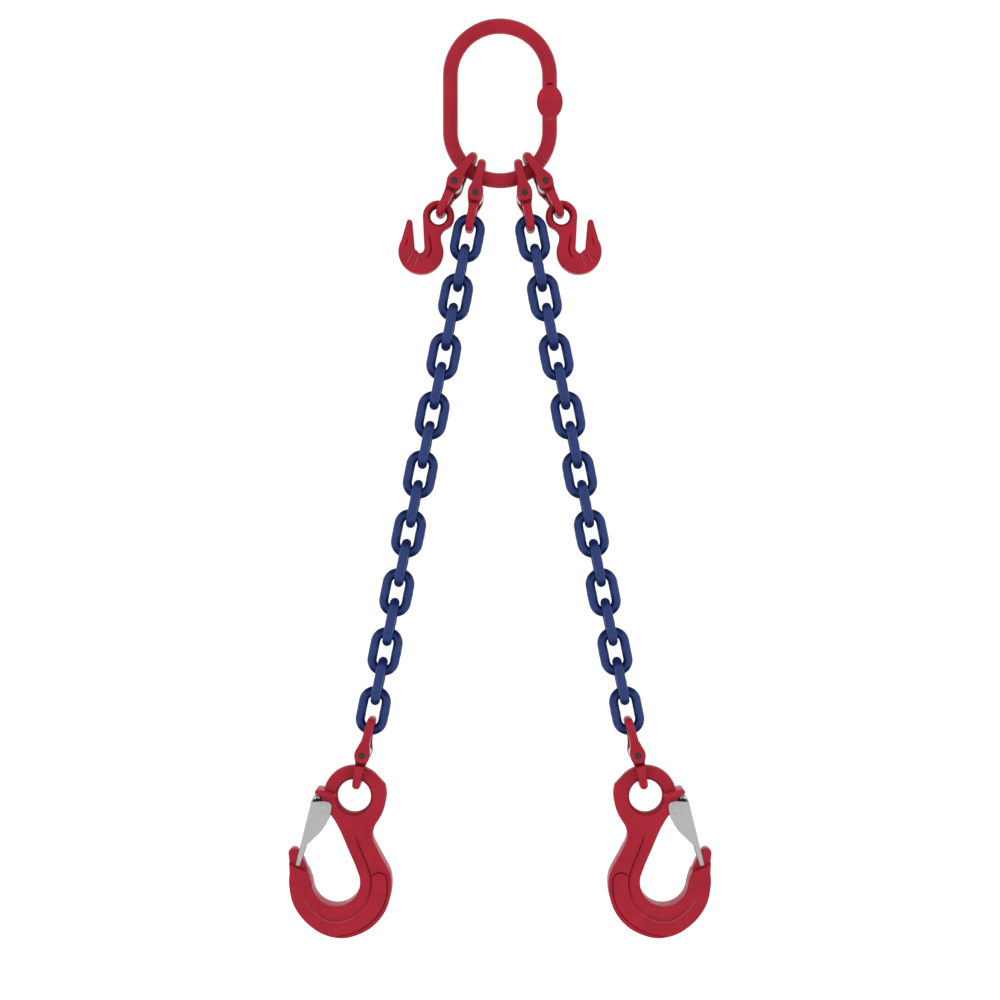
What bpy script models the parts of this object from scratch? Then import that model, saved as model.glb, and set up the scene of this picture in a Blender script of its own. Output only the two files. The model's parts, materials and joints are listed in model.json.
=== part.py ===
"""Two-leg chain sling with shortening hooks, as a Blender model in metres, +Z up.

The origin is the inner crown of the master link, where a crane hook carries the sling. X runs across
the two legs, Y from front to back. The left side is modelled, and the right side is the same pieces
turned half a turn about the vertical axis through the origin.
"""

import math

import bmesh
import bpy
from mathutils import Matrix, Vector

GAP = 0.0003                    # clearance kept between pieces that bear on each other
THROUGH = 0.03                  # half the length of a cutter that goes right through a piece

# Master link, with an identification disc forged into its right side
MASTER_WIRE_RADIUS = 0.0075
MASTER_HALF_WIDTH = 0.0496      # to the wire's centre
MASTER_STRAIGHT = 0.0561        # length of each straight side
MASTER_TOP = -0.0421 + MASTER_HALF_WIDTH
DISC_HEIGHT = MASTER_TOP - MASTER_HALF_WIDTH - MASTER_STRAIGHT / 2     # of its middle
DISC_HALF_WIDTH = 0.0131
DISC_HALF_HEIGHT = 0.0171
DISC_HALF_THICKNESS = 0.0061    # thinner than the wire, which is cut flat across the disc
DISC_CHAMFER = 0.0009           # before the faces are cut flat
DISC_CUT = 0.0003               # how much the flat cut takes off the disc's faces, and clears its rim by
DISC_CUT_DEPTH = 0.0030         # the cut flares by as much as it is deep

# Chain
LINKS_PER_LEG = 17
CHAIN_WIRE_RADIUS = 0.0047
LINK_OUTER_WIDTH = 0.0321
LINK_PITCH = 0.03008            # spacing of neighbouring links
LEG_TILT = math.radians(11.26)  # from the vertical

# Coupling links: two forged halves on a load pin, which carries a sleeve
BOW_WIRE_RADIUS = 0.0045
BOW_BEARING = 0.028             # from the pin's axis to the inside of the bow
BOW_HALF_WIDTH = 0.0133         # to the wire's centre
BOW_CORNER_RADIUS = 0.009
LUG_RADIUS = 0.0078
LUG_INNER_FACE = 0.0092
LUG_MIDDLE = 0.01495            # where one half's outer lug meets the other half's inner lug
LUG_OUTER_FACE = 0.021
SHOULDER = 0.0104               # from the pin's axis to where an arm takes its full depth
SHOULDER_OVERLAP = 0.0012       # how far a lug's neck runs into the arm
NECK_HALF_WIDTH = 0.0054
ARM_HALF_WIDTH = 0.0047
ARM_LENGTH = 0.0230             # from the pin's axis to where an arm is all bow
ARM_END_OUTER_FACE = 0.0166     # how far out the arm still reaches there
ARM_STEP = 0.0002               # the arm's faces stand this far inside the lugs' faces
PIN_RADIUS = 0.00325
SLEEVE_RADIUS = 0.0073
SLEEVE_HALF_LENGTH = 0.0088

# Where each coupling hangs and how it leans, on the left side
LEG_SEAT_ANGLE = math.radians(24.3)        # round the master link's lower arc, from its lowest point
SHORTENER_SEAT_ANGLE = math.radians(42.7)
SHORTENER_UPPER_TILT = math.radians(34.0)
SHORTENER_LOWER_TILT = math.radians(27.2)
BOTTOM_UPPER_TILT = math.radians(14.5)
BOTTOM_LOWER_TILT = math.radians(12.0)

# Shortening (grab) hook, from the centre of its eye
GRAB_EYE_RADIUS = 0.0082
GRAB_RING_RADIUS = 0.016
GRAB_HALF_THICKNESS = 0.0065
GRAB_BOWL_CENTRE = (-0.0176, -0.0355)
GRAB_BOWL_RADIUS = 0.0225
GRAB_SLOT_HALF_WIDTH = 0.0049
GRAB_SLOT_BOTTOM = (-0.0190, -0.0323)
GRAB_FINGER_TIP = (-0.0290, -0.0064)
GRAB_FINGER_RADIUS = 0.0029
GRAB_CHAMFER = 0.0020

# Eye sling hook, from the centre of its eye
HOOK_EYE_RADIUS = 0.0166
HOOK_RING_RADIUS = 0.0309
HOOK_NECK_HALF_THICKNESS = 0.0068
HOOK_BOWL_HALF_THICKNESS = 0.0110
HOOK_SLOPE_TOP = -0.030                    # the neck's thickness grows from here
HOOK_SLOPE_BOTTOM = -0.056                 # down to here
HOOK_CHAMFER = 0.0025
HOOK_BOWL_CENTRE = (-0.0176, -0.0844)
HOOK_BOWL_RADIUS = 0.0239
HOOK_TIP_CENTRE = (-0.0603, -0.0564)
HOOK_TIP_RADIUS = 0.0051
HOOK_TIP_STEP = (-0.0552, -0.0697)         # below this the tip has its full thickness
HOOK_TIP_STEP_TILT = math.radians(22)      # square to the way the latch's end swings past it
HOOK_TIP_RELIEF = (0.030, 0.020, 0.040)    # width, depth and height of what is cut away above the step
RIVET_CENTRE = (-0.0304, -0.0115)
RIVET_RADIUS = 0.0026
RIVET_HEAD_RADIUS = 0.0052
RIVET_HEAD_HEIGHT = 0.0008
LATCH_LUG_RADIUS = 0.0056
LATCH_LUG_HALF_THICKNESS = 0.0066
LATCH_LUG_WEB_SIZE = (0.0140, 0.0132, 0.0185)
LATCH_LUG_WEB_CENTRE = (-0.0262, 0, -0.0078)
LEDGE_CENTRE = (-0.0274, 0, 0.0034)
LEDGE_SIZE = (0.0196, 0.0240, 0.0056)
LEDGE_TILT = math.radians(13.5)
LEDGE_CHAMFER = 0.0008
LATCH_SHEET = 0.0015
LATCH_INNER_HALF_WIDTH = 0.0072
LATCH_TOP = (-0.0426, -0.0049)             # where the web begins
LATCH_END = (-0.0580, -0.0677)             # where the web's edge would meet the cheeks' ends
LATCH_WEB_LENGTH = 0.0511

RED_PAINT = (0.396, 0.023, 0.037, 1)
BLUE_PAINT = (0.033, 0.054, 0.186, 1)
DARK_STEEL = (0.036, 0.034, 0.034, 1)
ZINC = (0.468, 0.468, 0.468, 1)


def clear_scene():
    for old in list(bpy.data.objects):
        bpy.data.objects.remove(old, do_unlink=True)


def collection(name):
    made = bpy.data.collections.new(name)
    bpy.context.scene.collection.children.link(made)
    return made


def material(name, colour, roughness, metallic):
    made = bpy.data.materials.new(name)
    made.use_nodes = True
    shader = made.node_tree.nodes["Principled BSDF"]
    shader.inputs["Base Color"].default_value = colour
    shader.inputs["Roughness"].default_value = roughness
    shader.inputs["Metallic"].default_value = metallic
    return made


clear_scene()
PARTS = collection("chain_sling")
CUTTERS = collection("cutters")
CUTTERS.hide_render = True
RED = material("red_paint", RED_PAINT, 0.35, 0.0)
BLUE = material("blue_paint", BLUE_PAINT, 0.35, 0.0)
PIN_STEEL = material("pin_steel", DARK_STEEL, 0.45, 0.6)
ZINC_PLATE = material("zinc_plate", ZINC, 0.4, 0.7)


# Outlines, as lists of (x, z) points

def arc(centre, radius, start, end, steps):
    """Points round a circle, from one angle to another in degrees."""
    angles = [math.radians(start + (end - start) * i / steps) for i in range(steps + 1)]
    return [
        (centre[0] + radius * math.cos(a), centre[1] + radius * math.sin(a)) for a in angles
    ]


def rounded(points, steps=2):
    """A smooth run through the points: a Catmull-Rom spline, with its ends kept."""
    ends = [points[0], *points, points[-1]]
    run = []
    for p0, p1, p2, p3 in zip(ends, ends[1:], ends[2:], ends[3:]):
        for i in range(steps):
            t = i / steps
            run.append(tuple(
                0.5 * (2 * b + (c - a) * t + (2 * a - 5 * b + 4 * c - d) * t**2
                       + (3 * b - a - 3 * c + d) * t**3)
                for a, b, c, d in zip(p0, p1, p2, p3)
            ))
    return [*run, points[-1]]


def stadium(half_width, straight, top, steps):
    """A closed loop of two straight sides and two half circles, its topmost point at height top."""
    upper = arc((0, top - half_width), half_width, 180, 0, steps)
    lower = arc((0, top - half_width - straight), half_width, 0, -180, steps)
    return upper + lower


# Solids

def as_mesh(obj, weld=0.00001):
    """The object's evaluated shape as a mesh object of its own, and the source removed."""
    graph = bpy.context.evaluated_depsgraph_get()
    mesh = bpy.data.meshes.new_from_object(obj.evaluated_get(graph))
    body = bmesh.new()
    body.from_mesh(mesh)
    bmesh.ops.remove_doubles(body, verts=body.verts, dist=weld)
    bmesh.ops.recalc_face_normals(body, faces=body.faces)
    body.to_mesh(mesh)
    body.free()
    made = bpy.data.objects.new(obj.name + "_mesh", mesh)
    CUTTERS.objects.link(made)
    made.matrix_world = obj.matrix_world
    bpy.data.objects.remove(obj, do_unlink=True)
    return made


def wire(name, points, radius, resolution, closed):
    """A round wire along points in the XZ plane."""
    curve = bpy.data.curves.new(name, "CURVE")
    curve.dimensions = "3D"
    curve.bevel_depth = radius
    curve.bevel_resolution = resolution
    curve.use_fill_caps = not closed
    spline = curve.splines.new("POLY")
    spline.points.add(len(points) - 1)
    for point, (x, z) in zip(spline.points, points):
        point.co = (x, 0, z, 1)
    spline.use_cyclic_u = closed
    return curve


def plate(name, outlines, half_thickness):
    """A flat piece of the XZ plane: the first outline filled, any others left as holes."""
    curve = bpy.data.curves.new(name, "CURVE")
    curve.dimensions = "2D"
    curve.fill_mode = "BOTH"
    curve.extrude = half_thickness
    for outline in outlines:
        spline = curve.splines.new("POLY")
        spline.points.add(len(outline) - 1)
        for point, (x, z) in zip(spline.points, outline):
            point.co = (x, z, 0, 1)
        spline.use_cyclic_u = True
    flat = bpy.data.objects.new(name, curve)
    CUTTERS.objects.link(flat)
    flat.rotation_euler.x = math.pi / 2
    bpy.context.view_layer.update()
    solid = as_mesh(flat)
    solid.data.transform(solid.matrix_world)
    solid.matrix_world = Matrix.Identity(4)
    return solid


def cylinder(name, radius, half_length, centre=(0, 0), sides=24, middle=0):
    """A cylinder along Y round a point of the XZ plane."""
    body = bmesh.new()
    bmesh.ops.create_cone(
        body, cap_ends=True, segments=sides, radius1=radius, radius2=radius,
        depth=2 * half_length, matrix=Matrix.Rotation(math.pi / 2, 4, "X"),
    )
    bmesh.ops.translate(body, verts=body.verts, vec=(centre[0], middle, centre[1]))
    return mesh_object(name, body)


def box(name, size, centre, tilt=0.0):
    """A box, leaned about Y."""
    body = bmesh.new()
    bmesh.ops.create_cube(body, size=1)
    bmesh.ops.scale(body, verts=body.verts, vec=size)
    bmesh.ops.rotate(body, verts=body.verts, matrix=Matrix.Rotation(tilt, 3, "Y"))
    bmesh.ops.translate(body, verts=body.verts, vec=centre)
    return mesh_object(name, body)


def mesh_object(name, body):
    mesh = bpy.data.meshes.new(name)
    body.to_mesh(mesh)
    body.free()
    made = bpy.data.objects.new(name, mesh)
    CUTTERS.objects.link(made)
    return made


def chamfered(obj, width, angle=50):
    """The object with the sharp edges of its outline cut back."""
    bevel = obj.modifiers.new("edges", "BEVEL")
    bevel.width = width
    bevel.segments = 1
    bevel.limit_method = "ANGLE"
    bevel.angle_limit = math.radians(angle)
    bevel.use_clamp_overlap = False
    return as_mesh(obj)


def boolean(obj, operation, tools):
    """The object joined with its tools, or cut by them."""
    for tool in tools:
        modifier = obj.modifiers.new(operation.lower(), "BOOLEAN")
        modifier.operation = operation
        modifier.solver = "EXACT"
        modifier.object = tool
    bpy.context.view_layer.update()
    made = as_mesh(obj)
    for tool in tools:
        bpy.data.objects.remove(tool, do_unlink=True)
    return made


def finished(obj, name):
    """The mesh alone, shaded smooth across its shallow edges."""
    mesh = obj.data
    mesh.name = name
    mesh.shade_smooth()
    mesh.set_sharp_from_angle(angle=math.radians(40))
    bpy.data.objects.remove(obj, do_unlink=True)
    return mesh


# The shapes, each made once

def master_link_shape():
    """The oblong ring and the oval disc on its right side, cut flat together on both faces."""
    loop = stadium(MASTER_HALF_WIDTH, MASTER_STRAIGHT, MASTER_TOP, steps=14)
    ring = bpy.data.objects.new("ring", wire("ring", loop, MASTER_WIRE_RADIUS, 3, closed=True))
    CUTTERS.objects.link(ring)
    bpy.context.view_layer.update()
    steps = 24
    oval = [
        (MASTER_HALF_WIDTH + DISC_HALF_WIDTH * math.cos(2 * math.pi * i / steps),
         DISC_HEIGHT + DISC_HALF_HEIGHT * math.sin(2 * math.pi * i / steps))
        for i in range(steps)
    ]
    disc = chamfered(plate("disc", [oval], DISC_HALF_THICKNESS + DISC_CUT), DISC_CHAMFER, angle=60)
    link = boolean(as_mesh(ring), "UNION", [disc])
    return finished(boolean(link, "DIFFERENCE", [disc_flat(-1), disc_flat(1)]), "master_link")


def disc_flat(side):
    """What cuts one face of the disc flat, flared so that the wire slopes down to the face."""
    body = bmesh.new()
    bmesh.ops.create_cone(
        body, cap_ends=True, segments=24, radius1=1, radius2=1 + DISC_CUT_DEPTH / DISC_HALF_HEIGHT,
        depth=DISC_CUT_DEPTH, matrix=Matrix.Rotation(-side * math.pi / 2, 4, "X"),
    )
    bmesh.ops.scale(
        body, verts=body.verts, vec=(DISC_HALF_WIDTH + DISC_CUT, 1, DISC_HALF_HEIGHT + DISC_CUT),
    )
    middle = side * (DISC_HALF_THICKNESS + DISC_CUT_DEPTH / 2)
    bmesh.ops.translate(body, verts=body.verts, vec=(MASTER_HALF_WIDTH, middle, DISC_HEIGHT))
    return mesh_object("disc_flat", body)


def link_shape():
    """A chain link whose upper neighbour's wire is centred on the origin."""
    half_width = LINK_OUTER_WIDTH / 2 - CHAIN_WIRE_RADIUS
    top = 2 * CHAIN_WIRE_RADIUS + GAP
    straight = LINK_PITCH + top - 2 * half_width
    loop = stadium(half_width, straight, top, steps=6)
    return wire("chain_link", loop, CHAIN_WIRE_RADIUS, 2, closed=True)


def half_shape():
    """A coupling half, its pin on the Y axis and its bow below: the lower half as it hangs."""
    top = -SHOULDER - SHOULDER_OVERLAP
    bend_height = BOW_BEARING + BOW_WIRE_RADIUS - BOW_CORNER_RADIUS
    bend_offset = BOW_HALF_WIDTH - BOW_CORNER_RADIUS
    run = [(-BOW_HALF_WIDTH, top)]
    run += arc((-bend_offset, -bend_height), BOW_CORNER_RADIUS, 180, 270, 4)
    run += arc((bend_offset, -bend_height), BOW_CORNER_RADIUS, 270, 360, 4)
    run += [(BOW_HALF_WIDTH, top)]
    bow = bpy.data.objects.new("bow", wire("bow", run, BOW_WIRE_RADIUS, 2, closed=False))
    CUTTERS.objects.link(bow)
    bow.rotation_euler.z = math.pi / 2
    bpy.context.view_layer.update()
    half = as_mesh(bow)
    half.data.transform(half.matrix_world)
    half.matrix_world = Matrix.Identity(4)

    tools = [arm(-1), arm(1)]
    tools.append(lug(LUG_MIDDLE + GAP, LUG_OUTER_FACE))
    tools.append(lug(-LUG_MIDDLE + GAP, -LUG_INNER_FACE))
    half = boolean(half, "UNION", tools)
    bore = cylinder("bore", PIN_RADIUS + GAP, THROUGH, sides=12)
    return finished(boolean(half, "DIFFERENCE", [bore]), "coupling_half")


def arm(side):
    """The deep end of a coupling half's arm, which tapers into its bow."""
    inner = side * (LUG_INNER_FACE - ARM_STEP)
    outer = side * (LUG_OUTER_FACE - ARM_STEP)
    outline = [
        (inner, -SHOULDER), (outer, -SHOULDER), (outer, -SHOULDER - 0.0030),
        (side * ARM_END_OUTER_FACE, -ARM_LENGTH), (inner, -ARM_LENGTH),
    ]
    block = plate("arm", [outline], ARM_HALF_WIDTH)
    block.data.transform(Matrix.Rotation(math.pi / 2, 4, "Z"))
    return block


def lug(low, high):
    """The eye that a half shows to the pin, between two heights on the pin's axis."""
    outline = arc((0, 0), LUG_RADIUS, -42, 222, 16)
    neck_end = -SHOULDER - SHOULDER_OVERLAP
    outline += [(-NECK_HALF_WIDTH, neck_end), (NECK_HALF_WIDTH, neck_end)]
    eye = plate("lug", [outline], (high - low) / 2)
    eye.data.transform(Matrix.Translation((0, (low + high) / 2, 0)))
    return eye


def pin_shape():
    """The load pin with its sleeve, turned about the Y axis."""
    profile = [
        (0, LUG_OUTER_FACE), (PIN_RADIUS, LUG_OUTER_FACE),
        (PIN_RADIUS, SLEEVE_HALF_LENGTH), (SLEEVE_RADIUS, SLEEVE_HALF_LENGTH),
    ]
    profile += [(r, -h) for r, h in reversed(profile)]
    body = bmesh.new()
    verts = [body.verts.new((r, 0, h)) for r, h in profile]
    for a, b in zip(verts, verts[1:]):
        body.edges.new((a, b))
    turned = mesh_object("load_pin", body)
    screw = turned.modifiers.new("turn", "SCREW")
    screw.steps = 12
    screw.render_steps = 12
    screw.use_merge_vertices = True
    screw.merge_threshold = 0.00001
    pin = as_mesh(turned)
    pin.data.transform(Matrix.Rotation(math.pi / 2, 4, "X"))
    return finished(pin, "load_pin")


def grab_hook_shape():
    """The shortening hook, from the centre of its eye, its slot open upwards on the left."""
    bowl = GRAB_BOWL_CENTRE
    tip = GRAB_FINGER_TIP
    seat = GRAB_SLOT_BOTTOM
    outline = arc((0, 0), GRAB_RING_RADIUS, 186, -38, 13)
    outline += [(0.0059, -0.0143), (0.0026, -0.0190), (0.0027, -0.0250)]
    outline += arc(bowl, GRAB_BOWL_RADIUS, 10, -212, 13)
    outline += arc(tip, GRAB_FINGER_RADIUS, 172, 4, 4)
    outline += arc(seat, GRAB_SLOT_HALF_WIDTH, 184, 356, 5)
    ring = arc((0, 0), GRAB_EYE_RADIUS, 0, 340, 17)
    solid = plate("grab_hook", [outline, ring], GRAB_HALF_THICKNESS)
    return finished(chamfered(solid, GRAB_CHAMFER), "grab_hook")


def sling_hook_outline():
    """The hook's outer edge, then its inner edge back to the eye."""
    ring = arc((0, 0), HOOK_RING_RADIUS, 200, 40, 14)
    back = rounded([
        (0.0310, 0.0120), (0.0324, 0.0005), (0.0286, -0.0160), (0.0195, -0.0315), (0.0193, -0.0430),
        (0.0284, -0.0608), (0.0368, -0.0776), (0.0372, -0.0955), (0.0304, -0.1154), (0.0153, -0.1313),
        (-0.0075, -0.1400), (-0.0294, -0.1367), (-0.0473, -0.1243), (-0.0597, -0.1069),
        (-0.0641, -0.0876), (-0.0638, -0.0727), (-0.0653, -0.0568),
    ])
    tip = arc(HOOK_TIP_CENTRE, HOOK_TIP_RADIUS, 170, 20, 5)
    point = rounded([(-0.0503, -0.0627), (-0.0448, -0.0752), (-0.0411, -0.0866)])
    bowl = arc(HOOK_BOWL_CENTRE, HOOK_BOWL_RADIUS, 190, 350, 11)
    bowl += arc(HOOK_BOWL_CENTRE, HOOK_BOWL_RADIUS, 362, 375, 1)
    shank = rounded([(0.0010, -0.0660), (-0.0115, -0.0387), (-0.0194, -0.0240)])
    return ring + back + tip + point + bowl + shank


def sling_hook_shape():
    """The eye sling hook, from the centre of its eye, open to the left."""
    eye = arc((0, 0), HOOK_EYE_RADIUS, 0, 345, 23)
    hook = plate("sling_hook", [sling_hook_outline(), eye], HOOK_BOWL_HALF_THICKNESS)
    reliefs = [(neck_relief(side), tip_relief(side)) for side in (-1, 1)]
    hook = boolean(hook, "DIFFERENCE", [neck for neck, _ in reliefs])
    hook = chamfered(hook, HOOK_CHAMFER)
    hook = boolean(hook, "DIFFERENCE", [tip for _, tip in reliefs])
    ledge = chamfered(box("ledge", LEDGE_SIZE, LEDGE_CENTRE, tilt=LEDGE_TILT), LEDGE_CHAMFER)
    lug = cylinder("latch_lug", LATCH_LUG_RADIUS, LATCH_LUG_HALF_THICKNESS, RIVET_CENTRE)
    web = box("lug_web", LATCH_LUG_WEB_SIZE, LATCH_LUG_WEB_CENTRE)
    hook = boolean(hook, "UNION", [ledge, lug, web])
    hole = cylinder("rivet_hole", RIVET_RADIUS + GAP, THROUGH, RIVET_CENTRE, sides=12)
    return finished(boolean(hook, "DIFFERENCE", [hole]), "sling_hook")


def neck_relief(side):
    """What thins the neck and eye on one face, ending in a slope down to the bowl's full thickness."""
    neck = side * HOOK_NECK_HALF_THICKNESS
    past_bowl = side * (HOOK_BOWL_HALF_THICKNESS + 0.0010)
    past_ring = HOOK_RING_RADIUS + THROUGH
    outline = [
        (neck, past_ring), (neck, HOOK_SLOPE_TOP), (past_bowl, HOOK_SLOPE_BOTTOM),
        (side * THROUGH, HOOK_SLOPE_BOTTOM), (side * THROUGH, past_ring),
    ]
    relief = plate("neck_relief", [outline], past_ring)
    relief.data.transform(Matrix.Rotation(math.pi / 2, 4, "Z"))
    return relief


def tip_relief(side):
    """What thins the tip on one face, so that the latch's cheek comes down beside it."""
    _, depth, height = HOOK_TIP_RELIEF
    x = HOOK_TIP_STEP[0] + height / 2 * math.sin(HOOK_TIP_STEP_TILT)
    z = HOOK_TIP_STEP[1] + height / 2 * math.cos(HOOK_TIP_STEP_TILT)
    middle = side * (HOOK_NECK_HALF_THICKNESS + depth / 2)
    return box("tip_relief", HOOK_TIP_RELIEF, (x, middle, z), tilt=HOOK_TIP_STEP_TILT)


def latch_shape():
    """The pressed latch with its rivet, from the centre of the hook's eye."""
    outer = LATCH_INNER_HALF_WIDTH + LATCH_SHEET
    outline = [LATCH_TOP, (-0.0275, -0.0042)]
    outline += arc((-0.0269, -0.0096), 0.0048, 80, -20, 5)
    outline += [
        (-0.0238, -0.0186), (-0.0267, -0.0255), (-0.0317, -0.0335), (-0.0472, -0.0484),
        (-0.0483, -0.0507), (-0.0538, -0.0688), LATCH_END,
    ]
    latch = plate("latch", [outline], outer)
    down = (Vector(LATCH_END) - Vector(LATCH_TOP)).normalized()
    inner_top = Vector(LATCH_TOP) + LATCH_SHEET * Vector((-down.y, down.x))
    web_end = inner_top + LATCH_WEB_LENGTH * down
    above = inner_top - LATCH_WEB_LENGTH * down
    clear = LATCH_WEB_LENGTH + inner_top.x
    pocket = plate("pocket", [[
        tuple(above), (clear, above.y), (clear, -2 * LATCH_WEB_LENGTH),
        (web_end.x - clear, -2 * LATCH_WEB_LENGTH), (web_end.x - clear, web_end.y), tuple(web_end),
    ]], LATCH_INNER_HALF_WIDTH)
    latch = boolean(latch, "DIFFERENCE", [pocket])
    rivet = [cylinder("shaft", RIVET_RADIUS, outer, RIVET_CENTRE, sides=12)]
    for face in (-outer, outer):
        rivet.append(cylinder("head", RIVET_HEAD_RADIUS, RIVET_HEAD_HEIGHT, RIVET_CENTRE, 20, face))
    return finished(boolean(latch, "UNION", rivet), "latch")


# Placing

def place(name, data, parent, location, tilt, finish, spin=0.0):
    """A piece below its parent: at location, leaned about Y, and spun about its own length."""
    piece = bpy.data.objects.new(name, data)
    PARTS.objects.link(piece)
    if not data.materials:
        data.materials.append(finish)
    piece.parent = parent
    piece.matrix_local = (
        Matrix.Translation(location) @ Matrix.Rotation(tilt, 4, "Y") @ Matrix.Rotation(spin, 4, "Z")
    )
    return piece


def joint(name, parent, location, tilt):
    """An empty on a joint's axis, with its X and Y along the two ways a piece can swing there."""
    frame = bpy.data.objects.new(name, None)
    frame.empty_display_size = 0.01
    PARTS.objects.link(frame)
    frame.parent = parent
    frame.matrix_local = Matrix.Translation(location) @ Matrix.Rotation(tilt, 4, "Y")
    return frame


def coupling(side, where, parent, seat, seat_to_pin, upper_tilt, lower_tilt, shapes):
    """Two halves and a pin. The upper bow bears at seat; tilts are from the vertical, left leg."""
    swing = joint(f"{side}_{where}_swing", parent, seat, upper_tilt)
    pin_place = Vector((0, 0, -seat_to_pin))
    half_turn = {"left": 0, "right": math.pi}[side]
    place(f"{side}_{where}_upper_half", shapes["half"], swing, pin_place, math.pi, RED,
          spin=math.pi - half_turn)
    place(f"{side}_{where}_load_pin", shapes["pin"], swing, pin_place, 0, PIN_STEEL)
    fold = joint(f"{side}_{where}_pin_axis", swing, pin_place, lower_tilt - upper_tilt)
    place(f"{side}_{where}_lower_half", shapes["half"], fold, (0, 0, 0), 0, RED, spin=half_turn)
    return fold


def leg(side, parent, shapes):
    """One side of the sling, hung from the master link."""
    lower_arc = Vector((0, 0, MASTER_TOP - MASTER_HALF_WIDTH - MASTER_STRAIGHT))
    bow_centre = Vector((0, 0, -BOW_BEARING - BOW_WIRE_RADIUS))
    master_to_pin = BOW_BEARING - GAP - MASTER_WIRE_RADIUS
    chain_to_pin = BOW_BEARING - GAP - CHAIN_WIRE_RADIUS

    def seat(angle):
        return lower_arc - MASTER_HALF_WIDTH * Vector((math.sin(angle), 0, math.cos(angle)))

    top = coupling(side, "top", parent, seat(LEG_SEAT_ANGLE), master_to_pin, LEG_TILT, LEG_TILT, shapes)
    above, pivot = top, bow_centre
    for number in range(1, LINKS_PER_LEG + 1):
        quarter_turn = 0 if number == 1 else math.pi / 2
        above = place(f"{side}_link_{number:02d}", shapes["link"], above, pivot, 0, BLUE,
                      spin=quarter_turn)
        pivot = Vector((0, 0, -LINK_PITCH))
    bottom = coupling(side, "bottom", above, pivot, chain_to_pin, BOTTOM_UPPER_TILT - LEG_TILT,
                      BOTTOM_LOWER_TILT - LEG_TILT, shapes)

    hook_pivot = joint(f"{side}_hook_pivot", bottom, bow_centre, -BOTTOM_LOWER_TILT)
    hook_drop = BOW_WIRE_RADIUS + GAP - HOOK_EYE_RADIUS
    eye = hook_drop * Vector((math.sin(BOTTOM_LOWER_TILT), 0, math.cos(BOTTOM_LOWER_TILT)))
    place(f"{side}_sling_hook", shapes["hook"], hook_pivot, eye, 0, RED)
    rivet = Vector((RIVET_CENTRE[0], 0, RIVET_CENTRE[1]))
    latch_pivot = joint(f"{side}_latch_pivot", hook_pivot, eye + rivet, 0)
    place(f"{side}_latch", shapes["latch"], latch_pivot, -rivet, 0, ZINC_PLATE)

    shortener = coupling(side, "shortener", parent, seat(SHORTENER_SEAT_ANGLE), master_to_pin,
                         SHORTENER_UPPER_TILT, SHORTENER_LOWER_TILT, shapes)
    grab_pivot = joint(f"{side}_grab_pivot", shortener, bow_centre, -SHORTENER_LOWER_TILT)
    grab_drop = BOW_WIRE_RADIUS + GAP - GRAB_EYE_RADIUS
    grab_eye = grab_drop * Vector((math.sin(SHORTENER_LOWER_TILT), 0, math.cos(SHORTENER_LOWER_TILT)))
    place(f"{side}_grab_hook", shapes["grab"], grab_pivot, grab_eye, 0, RED)


def build():
    shapes = {
        "link": link_shape(), "half": half_shape(), "pin": pin_shape(), "grab": grab_hook_shape(),
        "hook": sling_hook_shape(), "latch": latch_shape(),
    }
    place("master_link", master_link_shape(), None, (0, 0, 0), 0, RED)
    for side, turn in (("left", 0), ("right", math.pi)):
        half_turn = joint(f"{side}_side", None, (0, 0, 0), 0)
        half_turn.rotation_euler.z = turn
        leg(side, half_turn, shapes)


build()
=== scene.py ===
"""Looks of the two-leg chain sling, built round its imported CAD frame, in metres.

Every piece is made round its own joint, in a local frame with Z up along the piece and Y from front
to back, and is then placed by the positions of the CAD joints. Outlines are in millimetres.
"""

import json
import math

import bmesh
import bpy
import numpy as np
from mathutils import Matrix, Vector
from mathutils.geometry import delaunay_2d_cdt


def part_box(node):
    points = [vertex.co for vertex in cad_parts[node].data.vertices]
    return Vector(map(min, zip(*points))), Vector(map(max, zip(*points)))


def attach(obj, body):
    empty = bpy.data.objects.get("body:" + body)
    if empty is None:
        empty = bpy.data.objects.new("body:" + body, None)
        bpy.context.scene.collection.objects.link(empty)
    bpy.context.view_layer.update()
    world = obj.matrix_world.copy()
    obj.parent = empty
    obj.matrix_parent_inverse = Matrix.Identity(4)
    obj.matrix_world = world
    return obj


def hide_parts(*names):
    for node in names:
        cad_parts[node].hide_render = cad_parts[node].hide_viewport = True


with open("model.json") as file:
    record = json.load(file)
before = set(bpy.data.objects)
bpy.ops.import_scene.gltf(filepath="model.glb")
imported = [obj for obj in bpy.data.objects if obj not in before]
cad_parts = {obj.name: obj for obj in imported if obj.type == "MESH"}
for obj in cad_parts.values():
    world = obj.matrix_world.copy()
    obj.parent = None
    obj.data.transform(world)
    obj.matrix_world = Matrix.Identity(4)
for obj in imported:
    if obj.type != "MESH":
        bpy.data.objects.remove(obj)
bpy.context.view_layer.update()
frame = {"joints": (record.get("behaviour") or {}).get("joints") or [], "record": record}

MM = 0.001
SIDES = {"left": 1, "right": -1}    # which way Y points in a side's local frames
SHARP_EDGE = math.radians(38)

# Forgings: how finely they are made, in millimetres
OUTLINE_STEP = 0.8
RIM_TURNS = np.radians((18, 36, 54, 72, 90))    # round the edge, from the outline to the face
RIDGE_STEP = 0.7
RIDGE_ROWS = (-1.3, -0.7, -0.3, 0, 0.3, 0.7, 1.3)
# How far the painted shade round a hole reaches, from full to none
HOLE_SHADE_REACH = (1.2, 3.3)

# Stretches of a ridge's line, whose own run is from 0 to 1
EVERYWHERE = (-1, 2)
NOWHERE = (2, 2)

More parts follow.
